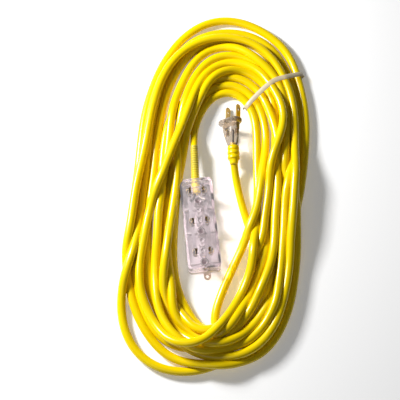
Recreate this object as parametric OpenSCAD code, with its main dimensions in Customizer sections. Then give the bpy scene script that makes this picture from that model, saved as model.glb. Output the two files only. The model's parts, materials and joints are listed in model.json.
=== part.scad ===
// Coiled two-wire extension cord with a clear moulded plug and a clear
// triple-outlet power block, bundled with a nylon tie and lying flat.
// Millimetres. +Z up, floor at z = 0, origin under the middle of the bundle.

/* [Cord] */
// Outside diameter of the cord
cord_d = 8; // [7.6:0.1:8.4]
// Height of the coiled bundle
coil_h = 28; // [22:1:30]

/* [Plug] */
// Distance between the two blades, centre to centre
blade_gap = 12.7; // [12.6:0.05:12.8]
// Length of a blade in front of the plug face
blade_len = 17.6; // [15.9:0.1:18.2]
// Width of the line blade
line_blade_w = 6.35; // [6.2:0.05:6.5]
// Width of the neutral blade
neutral_blade_w = 6.35; // [6.2:0.05:7.9]
// Thickness of each blade
blade_t = 1.5; // [1.4:0.05:1.6]
// Outside diameter of the ribs of the plug's strain relief
plug_rib_d = 12.6; // [11:0.1:13]

/* [Power block] */
// Length of the power block
block_l = 91; // [90:0.5:96]
// Width of the power block
block_w = 32; // [31:0.5:36]
// Height of the power block
block_h = 24; // [23:0.5:26]
// Wall thickness of the two shells
wall = 2.2; // [1.8:0.1:2.6]
// Distance from one outlet to the next
outlet_pitch = 30.8; // [30:0.1:31.2]
// Radius of each outlet's round well
well_r = 2.7; // [2.5:0.05:2.9]
// Depth of each outlet's round well
well_depth = 12; // [10:0.5:12.5]

/* [Tie] */
// Width of the tie's strap
tie_w = 4.2; // [3.6:0.1:4.8]
// Thickness of the tie's strap
tie_t = 1.2; // [1:0.1:1.4]

/* [Hidden] */
$fn = 48;
cord_r = cord_d / 2;

// ---- outline of the flat coil, seen from above ----
coil_outer = [
  [11, 189], [34, 183], [54, 175], [69, 162], [79, 148], [87, 134], [92, 118], [94, 98],
  [95, 78], [93, 51], [90, 24], [88, -2], [85, -28], [83, -54], [81, -74], [78, -96],
  [74, -118], [68, -135], [57, -153], [42, -166], [25, -176], [7, -181], [-9, -185],
  [-27, -188], [-44, -185], [-61, -177], [-75, -166], [-85, -153], [-91, -138], [-94, -119],
  [-93, -106], [-90, -82], [-88, -58], [-86, -34], [-84, -9], [-80, 17], [-79, 42],
  [-76, 68], [-73, 89], [-68, 110], [-62, 128], [-49, 148], [-37, 164], [-22, 178], [-6, 186]
];
coil_inner = [
  [15, 99], [27, 95], [35, 85], [38, 73], [40, 58], [40, 38], [40, 15], [41, -4], [39, -19],
  [36, -34], [32, -48], [27, -61], [19, -77], [12, -91], [6, -105], [1, -117], [-3, -132],
  [-9, -135], [-18, -131], [-26, -121], [-31, -109], [-35, -93], [-37, -75], [-38, -55],
  [-39, -37], [-38, -20], [-37, -4], [-35, 9], [-31, 28], [-28, 45], [-26, 60], [-24, 69],
  [-17, 77], [-10, 86], [-3, 94], [5, 98]
];

// ---- route of each free lead, from the coil to the strain relief ----
plug_exit = [19.8, 25.4, 12.8];
plug_route = [[39, -50, 4.4], [36, -42, 4.4], [32, -31, 4.8], [28.2, -19, 6], [24.9, -8, 8],
              [22.5, 2, 10.3], [20.9, 12, 12.2], [20.1, 19, 12.9], plug_exit];
block_exit = [-19.8, 38.6, 12];
block_route = [[-15, 84, 4.4], [-18.6, 76, 5.4], [-20.8, 67, 7.4], [-21.4, 59, 9.4],
               [-21.1, 51, 11], [-20.4, 44, 11.8], block_exit];

// ---- small helpers ----
function unit(v) = v / norm(v);
function lerp(a, b, t) = a + (b - a) * t;
// Catmull-Rom point on a route
function cr(p0, p1, p2, p3, t) =
  0.5 * ((2 * p1) + (p2 - p0) * t + (2 * p0 - 5 * p1 + 4 * p2 - p3) * t * t
  + (3 * p1 - p0 - 3 * p2 + p3) * t * t * t);
function smooth_route(p, n) = [
  for (i = [0 : len(p) - 2]) for (k = [0 : n - 1])
    cr(p[max(i - 1, 0)], p[i], p[i + 1], p[min(i + 2, len(p) - 1)], k / n),
  p[len(p) - 1]
];
function tangent(p, i) = unit(p[min(i + 1, len(p) - 1)] - p[max(i - 1, 0)]);
function side_dir(t) = unit(cross(t, [0, 0, 1]));
function ring(c, t, r, s) = let (u = side_dir(t), v = cross(u, t))
  [for (k = [0 : s - 1]) c + r * (cos(360 * k / s) * u + sin(360 * k / s) * v)];

// Tube swept along a route; the far end can be rounded with extra rings
module swept_tube(route, r, s = 12, caps = [20, 40, 60, 78]) {
  p = route;
  n = len(p);
  t_end = tangent(p, n - 1);
  rings = concat(
    [for (i = [0 : n - 1]) ring(p[i], tangent(p, i), r, s)],
    [for (a = caps) ring(p[n - 1] + t_end * r * sin(a), t_end, r * cos(a), s)]
  );
  m = len(rings);
  pts = [for (q = rings) each q];
  faces = concat(
    [[for (k = [0 : s - 1]) k]],
    [for (i = [0 : m - 2]) for (k = [0 : s - 1]) let (a = i * s + k, b = i * s + (k + 1) % s)
      each [[a, a + s, b + s], [a, b + s, b]]],
    [[for (k = [s - 1 : -1 : 0]) (m - 1) * s + k]]
  );
  polyhedron(points = pts, faces = faces, convexity = 6);
}
// Flat-ended wire through a list of points
module wire(p, r) { swept_tube(smooth_route(p, 2), r, 8, []); }
// Points of a stadium: straight sides joined by half circles
function stadium_ring(half_l, half_w, n = 40) = [
  for (k = [0 : n - 1]) let (a = 360 * (k + 0.5) / n, s = cos(a) >= 0 ? 1 : -1)
    [s * (half_l - half_w) + half_w * cos(a), half_w * sin(a)]
];
// Loft through stadium sections given as [z, centre x, centre y, half length, half width]
module loft(sections, n = 40) {
  m = len(sections);
  pts = [for (q = sections) for (v = stadium_ring(q[3], q[4], n)) [v[0] + q[1], v[1] + q[2], q[0]]];
  faces = concat(
    [[for (k = [0 : n - 1]) k]],
    [for (i = [0 : m - 2]) for (k = [0 : n - 1]) let (a = i * n + k, b = i * n + (k + 1) % n)
      each [[a, a + n, b + n], [a, b + n, b]]],
    [[for (k = [n - 1 : -1 : 0]) (m - 1) * n + k]]
  );
  polyhedron(points = pts, faces = faces, convexity = 4);
}
module rounded_rect(x0, y0, x1, y1, r) {
  union() {
    translate([x0 + r, y0]) square([x1 - x0 - 2 * r, y1 - y0]);
    translate([x0, y0 + r]) square([x1 - x0, y1 - y0 - 2 * r]);
    for (x = [x0 + r, x1 - r]) for (y = [y0 + r, y1 - r]) translate([x, y]) circle(r = r);
  }
}

// ---- the coil ----
tie_at = [34.4, 86, 0];
tie_turn = 31;
tie_reach = 66;
module tie_frame() { translate(tie_at) rotate([0, 0, tie_turn]) children(); }
module tie_channel() {
  tie_frame() {
    difference() {
      translate([-9, -tie_w / 2 - 0.1, -1]) cube([tie_reach + 18, tie_w + 0.2, coil_h + 2]);
      translate([0, -tie_w / 2 - 1, tie_t]) cube([tie_reach, tie_w + 2, coil_h - 2 * tie_t]);
    }
    // pocket for the head under the innermost turns
    translate([-9, -3.2, -1]) cube([9 + 12.6, 6.4, 6.5]);
  }
}
module cord_coil() {
  color("gold") difference() {
    linear_extrude(coil_h) difference() {
      polygon(coil_outer);
      polygon(coil_inner);
    }
    tie_channel();
  }
}
module plug_lead() { color("gold") swept_tube(smooth_route(plug_route, 2), cord_r - 0.2, 12); }
module block_lead() { color("gold") swept_tube(smooth_route(block_route, 2), cord_r - 0.2, 12); }

module cable_tie_strap() {
  color("gainsboro") tie_frame() {
    difference() {
      translate([-tie_t, -tie_w / 2, 0]) cube([tie_reach + 2 * tie_t, tie_w, coil_h]);
      translate([0, -tie_w / 2 - 1, tie_t]) cube([tie_reach, tie_w + 2, coil_h - 2 * tie_t]);
    }
    // cut tail of the strap beyond its head
    translate([-5.8, -1.5, tie_t]) cube([17.4, 3, 1.1]);
  }
}
module cable_tie_head() {
  color("gainsboro") tie_frame() difference() {
    translate([6.2, -3, 0.2]) cube([6, 6, 5]);
    translate([5, -tie_w / 2 - 0.02, -1]) cube([9, tie_w + 0.04, 1 + tie_t + 1.12]);
  }
}

// ---- plug: x across the blades, z forward, y away from the thumb side ----
plug_pos = [19.3, 69.4, 9.3];
module at_plug() {
  translate(plug_pos) rotate([0, 0, -2]) rotate([-98, 0, 0]) rotate([0, 0, -38]) children();
}
// cord exit and waist of the plug in its own frame
exit_l = [0, 3.4, -44];
sleeve_tilt = 6;
sleeve_len = 16.5;
module at_sleeve() { translate(exit_l) rotate([sleeve_tilt, 0, 0]) children(); }
// body sections from waist to flange: z, centre x, centre y, half length, half width
plug_sections = [
  [-30, 0.2, 2.0, 5.4, 5.2],
  [-27.6, 0, 1.6, 5.6, 5.2],
  [-21.5, -0.3, -0.2, 6.8, 5.6],
  [-15, -0.5, -1.4, 8.2, 5.9],
  [-9, -0.6, -2.1, 9.0, 6.1],
  [-4.2, -0.7, -2.2, 9.6, 6.2],
  [-3.2, -1.2, -2.8, 12.2, 6.4],
  [-2.6, -1.2, -2.8, 13, 6.9],
  [-0.5, -1.2, -2.8, 13, 6.9],
  [0, -1.2, -2.8, 12.6, 6.5]
];
module plug_outer() { loft(plug_sections); }
crimp_r = 1.9;
shank_w = 3.6;
module blade_space(sx, w, g = 0) {
  translate([sx * blade_gap / 2 - blade_t / 2 - g, -w / 2 - g, -3 - g])
    cube([blade_t + 2 * g, w + 2 * g, 3 + blade_len + 2 * g]);
  translate([sx * blade_gap / 2 - blade_t / 2 - g, -shank_w / 2 - g, -10 - g])
    cube([blade_t + 2 * g, shank_w + 2 * g, 8 + 2 * g]);
}
module crimp_space(sx, g = 0) {
  translate([sx * (blade_gap / 2 - 1.2), 0, -16 - g]) cylinder(r = crimp_r + g, h = 6 + g, $fn = 32);
}
module bridge_space(g = 0) {
  translate([-7.3 - g, -4.4 - g, -8.4 - g]) cube([14.6 + 2 * g, 6.2 + 2 * g, 4.8 + 2 * g]);
}
function wire_pts(sx) = [[sx * (blade_gap / 2 - 1.2), 0, -15.6], [sx * 4.3, 0.2, -19],
                         [sx * 2.3, 1, -23], [sx * 1.9, 1.5, -25.4]];
module jacket_space(g = 0) {
  at_sleeve() translate([0, 0, 12]) cylinder(r = 3.6 + g, h = 7.2 + g, $fn = 32);
}
module plug_body() {
  color([0.85, 0.84, 0.82, 0.5]) at_plug() difference() {
    plug_outer();
    blade_space(-1, line_blade_w, 0.02);
    blade_space(1, neutral_blade_w, 0.02);
    bridge_space(0.02);
    crimp_space(-1, 0.02);
    crimp_space(1, 0.02);
    jacket_space(0.02);
    // face to face with the strain relief
    at_sleeve() translate([0, 0, -2]) cylinder(r = 20, h = 2 + sleeve_len, $fn = 32);
  }
}
module plug_bridge() {
  color([0.6, 0.56, 0.5]) at_plug() difference() {
    bridge_space();
    blade_space(-1, line_blade_w, 0.02);
    blade_space(1, neutral_blade_w, 0.02);
    translate([0, -1, -9]) cylinder(r = 1.6, h = 7, $fn = 24);
  }
}
module line_blade() { color("darkgoldenrod") blade_tipped(-1, line_blade_w); }
module neutral_blade() { color("darkgoldenrod") blade_tipped(1, neutral_blade_w); }
module blade_tipped(sx, w) {
  at_plug() difference() {
    translate([sx * blade_gap / 2 - blade_t / 2, 0, 0]) rotate([90, 0, 90])
      linear_extrude(blade_t) polygon([
        [-shank_w / 2, -10], [shank_w / 2, -10], [shank_w / 2, -3], [w / 2, -3],
        [w / 2, blade_len - 2], [w / 2 - 1.6, blade_len],
        [-w / 2 + 1.6, blade_len], [-w / 2, blade_len - 2], [-w / 2, -3], [-shank_w / 2, -3]
      ]);
    translate([sx * blade_gap / 2 - 3, 0, 11.9]) rotate([0, 90, 0]) cylinder(r = 1.6, h = 6, $fn = 24);
  }
}
module crimp(sx) {
  color("goldenrod") at_plug() difference() {
    crimp_space(sx);
    translate([sx * (blade_gap / 2 - 1.2), 0, -16.5]) cylinder(r = 1.3, h = 5.5, $fn = 24);
    blade_space(sx, line_blade_w, 0.02);
  }
}
module line_crimp() { crimp(-1); }
module neutral_crimp() { crimp(1); }
module plug_line_wire() { color("black") at_plug() wire(wire_pts(-1), 1.3); }
module plug_neutral_wire() { color("white") at_plug() wire(wire_pts(1), 1.3); }
module plug_jacket_end() { color("gold") at_plug() jacket_space(); }
module plug_strain_relief() {
  r = plug_rib_d / 2;
  color("gold") at_plug() at_sleeve() difference() {
    rotate_extrude() polygon([
      [0, 1.6], [5, 1.6], [5.4, 2], [r - 0.4, 2.6], [r, 3], [r, 5.6], [r - 0.4, 6],
      [r - 1.2, 6.3], [r - 1.2, 7], [r - 0.4, 7.3], [r, 7.7], [r, 10], [r - 0.4, 10.4],
      [r - 1.2, 10.7], [r - 1.2, 11.4], [r - 0.6, 11.7], [r - 0.3, 12.1], [r - 0.3, 15.9],
      [r - 0.9, sleeve_len], [0, sleeve_len]
    ]);
    sphere(r = cord_r + 0.3);
    translate([0, 0, 12]) cylinder(r = 3.62, h = 8, $fn = 32);
  }
}

// ---- power block: x across, y from the cord end to the far end, z up ----
block_pos = [-18.6, 4.1, 0];
block_turn = 6;
module at_block() { translate(block_pos) rotate([0, 0, block_turn]) mirror([0, 1, 0]) children(); }
outlet_y = 11.5;
well_offset = 11.9;
split_z = 9;
slot_x = 6.35;
clip_x = 7.4;
bus_z = 10.6;
bus_t = 0.8;
well_boss_r = 4.3;
pin_y = [32.3, 42.3, 63.1, 73.1];
module block_plan(g = 0) {
  // rectangle with a larger radius at the cord end's left corner, and grip recesses
  difference() {
    union() {
      rounded_rect(-block_w / 2 + g, g, block_w / 2 - g, block_l - g, 4 - g / 2);
    }
    if (g == 0) {
      difference() {
        translate([-block_w / 2 - 1, -1]) square([9, 9]);
        translate([-block_w / 2 + 8, 8]) circle(r = 8);
      }
      for (s = [-1, 1]) {
        translate([s * (block_w / 2 + 39.2), 35.5]) circle(r = 40, $fn = 160);
        translate([s * (block_w / 2 + 9.3), 61.5]) circle(r = 10, $fn = 64);
      }
    }
  }
}
module cord_hole(r) { translate([0, -1, 12]) rotate([-90, 0, 0]) cylinder(r = r, h = wall + 3, $fn = 48); }
module block_front_shell() {
  color([0.86, 0.84, 0.88, 0.5]) at_block() difference() {
    union() {
      difference() {
        translate([0, 0, split_z]) linear_extrude(block_h - split_z) block_plan();
        translate([0, 0, split_z - 1]) linear_extrude(block_h - split_z + 1 - wall) block_plan(wall);
      }
      for (i = [0 : 2]) {
        // boss of the round well
        translate([0, outlet_y + well_offset + i * outlet_pitch, block_h - well_depth - 1.2])
          cylinder(r = well_boss_r, h = well_depth + 0.6);
      }
    }
    for (i = [0 : 2]) {
      y = outlet_y + i * outlet_pitch;
      translate([0, y + well_offset, block_h - well_depth]) cylinder(r = well_r, h = well_depth + 1);
      translate([-slot_x - 1.1, y - 3.6, block_h - 5]) cube([2.2, 7.2, 6]);
      translate([slot_x - 1.1, y - 4.2, block_h - 5]) cube([2.2, 8.4, 6]);
    }
    for (y = pin_y) translate([0, y, block_h - 1.4]) cylinder(r = 2.02, h = 3);
    for (y = pin_y) translate([0, y, block_h - wall - 1]) cylinder(r = 1.22, h = 3);
    cord_hole(5.7);
  }
}
module block_rear_shell() {
  color([0.82, 0.8, 0.84, 0.5]) at_block() difference() {
    union() {
      difference() {
        linear_extrude(split_z) block_plan();
        translate([0, 0, wall]) linear_extrude(split_z) block_plan(wall);
      }
      // cross ribs that carry the bus strips
      for (y = [27, 51.5, 82]) translate([-block_w / 2 + 1, y - 1, 1]) cube([block_w - 2, 2, bus_z - 1]);
      for (y = pin_y) translate([0, y, 1]) cylinder(r = 3, h = bus_z - 1.2);
      // cradle for the cord's jacket
      translate([-6, 6, 1]) cube([12, 5, 8]);
    }
    for (y = pin_y) translate([0, y, 3]) cylinder(r = 1.22, h = 12);
    cord_hole(5.7);
    translate([0, -1, 12]) rotate([-90, 0, 0]) cylinder(r = 4.02, h = 16, $fn = 48);
    // keep the ribs inside the front shell
    translate([-block_w, -5, split_z]) difference() {
      cube([2 * block_w, 110, 10]);
      translate([block_w - block_w / 2 + wall + 0.1, 5, -1]) cube([block_w - 2 * wall - 0.2, 100, 12]);
    }
  }
}
module block_weld_pins() {
  color([0.8, 0.78, 0.82, 0.6]) at_block() for (y = pin_y) {
    translate([0, y, 3.1]) cylinder(r = 1.2, h = block_h - 1.4 - 3.1);
    translate([0, y, block_h - 1.4]) cylinder(r = 2, h = 1.2);
  }
}
module bus(sx) {
  at_block() union() {
    translate([sx * clip_x - 1.9, outlet_y - 3, bus_z]) cube([3.8, 2 * outlet_pitch + 6, bus_t]);
  }
}
module line_bus() { color("goldenrod") bus(-1); }
module neutral_bus() { color("goldenrod") bus(1); }
module contact_clips() {
  color("darkgoldenrod") at_block() for (i = [0 : 2]) for (s = [-1, 1])
    translate([0, outlet_y + i * outlet_pitch, 0]) {
      if (s == 1) clip_right(); else mirror([1, 0, 0]) clip_right();
    }
}
module clip_right() {
  translate([clip_x, 0, bus_z + bus_t]) linear_extrude(7.4)
    polygon([[-2.3, -3.1], [1.2, -3.1], [2.3, -2.2], [2.3, 2.2], [1.2, 3.1], [-2.3, 3.1],
             [-2.3, 1.9], [-1.7, 1.9], [-1.7, 2.5], [0.9, 2.5], [1.7, 1.9], [1.7, -1.9],
             [0.9, -2.5], [-1.7, -2.5], [-1.7, -1.9], [-2.3, -1.9]]);
}
function block_wire_pts(sx) = [[sx * 1.8, 13, 12], [sx * 2.6, 16, 12.4], [sx * 5, 18.5, 12.8],
                               [sx * 7.2, 19.5, bus_z + bus_t + 1.5]];
module block_line_wire() { color("black") at_block() wire(block_wire_pts(-1), 1.3); }
module block_neutral_wire() { color("white") at_block() wire(block_wire_pts(1), 1.3); }
module block_jacket_end() {
  color("gold") at_block() translate([0, 2.6, 12]) rotate([-90, 0, 0]) cylinder(r = cord_r, h = 10.2);
}
module block_cord_clamp() {
  color([0.8, 0.78, 0.82, 0.6]) at_block() difference() {
    translate([-5, 7, 9]) cube([10, 3.4, 9.4]);
    translate([0, 5, 12]) rotate([-90, 0, 0]) cylinder(r = cord_r + 0.02, h = 8, $fn = 48);
    translate([-cord_r - 0.02, 5, 8]) cube([2 * cord_r + 0.04, 8, 4]);
  }
}
// axis of the block's strain relief runs from the block to the lead
module block_strain_relief() {
  l = norm([block_exit[0] - block_pos[0], block_exit[1] - block_pos[1]]);
  color("gold") translate(block_exit) rotate([0, 0, atan2(block_pos[1] - block_exit[1], block_pos[0] - block_exit[0])])
    rotate([0, 90, 0]) difference() {
      rotate_extrude() polygon(concat(
        [[0, 1.6], [4.4, 1.6]],
        [for (k = [0 : 9]) each [[4.75 + 0.02 * k, 2.2 + 2.9 * k], [4.75 + 0.02 * k, 4.1 + 2.9 * k],
                                 [4.3 + 0.03 * k, 4.4 + 2.9 * k], [4.3 + 0.03 * k, 4.8 + 2.9 * k]]],
        [[5.4, l - 1.5], [5.4, l + 2], [0, l + 2]]
      ));
      sphere(r = cord_r + 0.3);
    }
}
module block_hang_tab() {
  color([0.85, 0.84, 0.82, 0.6]) at_block() difference() {
    union() {
      translate([-1.5, block_l, 1.2]) cube([7, 3.6, 1.8]);
      translate([2, block_l + 3.6, 1.2]) cylinder(r = 3.5, h = 1.8);
    }
    translate([2, block_l + 3.6, 0]) cylinder(r = 1.6, h = 5);
  }
}

cord_coil();
plug_lead();
block_lead();
cable_tie_strap();
cable_tie_head();
plug_body();
plug_bridge();
plug_strain_relief();
line_blade();
neutral_blade();
line_crimp();
neutral_crimp();
plug_line_wire();
plug_neutral_wire();
plug_jacket_end();
block_front_shell();
block_rear_shell();
block_weld_pins();
line_bus();
neutral_bus();
contact_clips();
block_line_wire();
block_neutral_wire();
block_jacket_end();
block_cord_clamp();
block_strain_relief();
block_hang_tab();
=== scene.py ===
import bpy, json, math
import numpy as np
from mathutils import Vector, Matrix


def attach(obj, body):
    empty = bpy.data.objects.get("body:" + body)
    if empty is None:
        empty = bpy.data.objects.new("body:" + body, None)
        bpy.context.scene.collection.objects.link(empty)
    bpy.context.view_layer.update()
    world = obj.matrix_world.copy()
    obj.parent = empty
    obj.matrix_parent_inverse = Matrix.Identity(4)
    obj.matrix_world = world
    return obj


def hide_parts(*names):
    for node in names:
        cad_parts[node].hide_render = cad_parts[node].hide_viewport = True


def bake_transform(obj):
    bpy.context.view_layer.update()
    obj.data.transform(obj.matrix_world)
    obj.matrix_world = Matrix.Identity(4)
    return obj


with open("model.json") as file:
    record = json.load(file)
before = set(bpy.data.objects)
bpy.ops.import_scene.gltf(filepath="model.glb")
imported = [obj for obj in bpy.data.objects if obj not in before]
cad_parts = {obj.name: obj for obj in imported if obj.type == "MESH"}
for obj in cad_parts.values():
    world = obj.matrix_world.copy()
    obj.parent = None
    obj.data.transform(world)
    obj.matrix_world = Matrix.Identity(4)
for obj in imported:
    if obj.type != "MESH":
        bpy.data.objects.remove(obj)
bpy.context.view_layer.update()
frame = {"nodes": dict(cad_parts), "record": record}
MM = 0.001

# ---------------------------------------------------------------- camera
ELEV = 73.0
DIST = 1.05
AIM = Vector((-0.014, -0.011, 0.0))
cam_data = bpy.data.cameras.new("camera")
cam_data.sensor_width = 36.0
cam_data.lens = 94.5
cam_data.clip_start = 0.05
cam_data.clip_end = 20.0
camera = bpy.data.objects.new("camera", cam_data)
bpy.context.scene.collection.objects.link(camera)
camera.location = AIM + DIST * Vector((0, -math.cos(math.radians(ELEV)), math.sin(math.radians(ELEV))))
camera.rotation_euler = (math.radians(90 - ELEV), 0, 0)
bpy.context.scene.camera = camera

# ---------------------------------------------------------------- helpers
def new_mesh(name, verts, faces, smooth=True):
    me = bpy.data.meshes.new(name)
    me.from_pydata([tuple(v) for v in verts], [], [tuple(f) for f in faces])
    me.validate()
    me.update()
    if smooth:
        me.polygons.foreach_set("use_smooth", [True] * len(me.polygons))
    ob = bpy.data.objects.new(name, me)
    bpy.context.scene.collection.objects.link(ob)
    return ob


def catmull(points, step):
    n = len(points)
    out = []
    t = np.linspace(0, 1, 8, endpoint=False)[:, None]
    for i in range(n - 1):
        a, b, c, d = points[max(i - 1, 0)], points[i], points[i + 1], points[min(i + 2, n - 1)]
        out.append(0.5 * ((2 * b) + (c - a) * t + (2 * a - 5 * b + 4 * c - d) * t * t + (3 * b - a - 3 * c + d) * t ** 3))
    out.append(points[-1:])
    return resample(np.vstack(out), step)


def resample(q, step):
    s = np.r_[0, np.cumsum(np.linalg.norm(np.diff(q[:, :3], axis=0), axis=1))]
    n = int(round(s[-1] / step)) + 1
    t = np.linspace(0, s[-1], n)
    return np.column_stack([np.interp(t, s, q[:, k]) for k in range(q.shape[1])])


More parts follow.
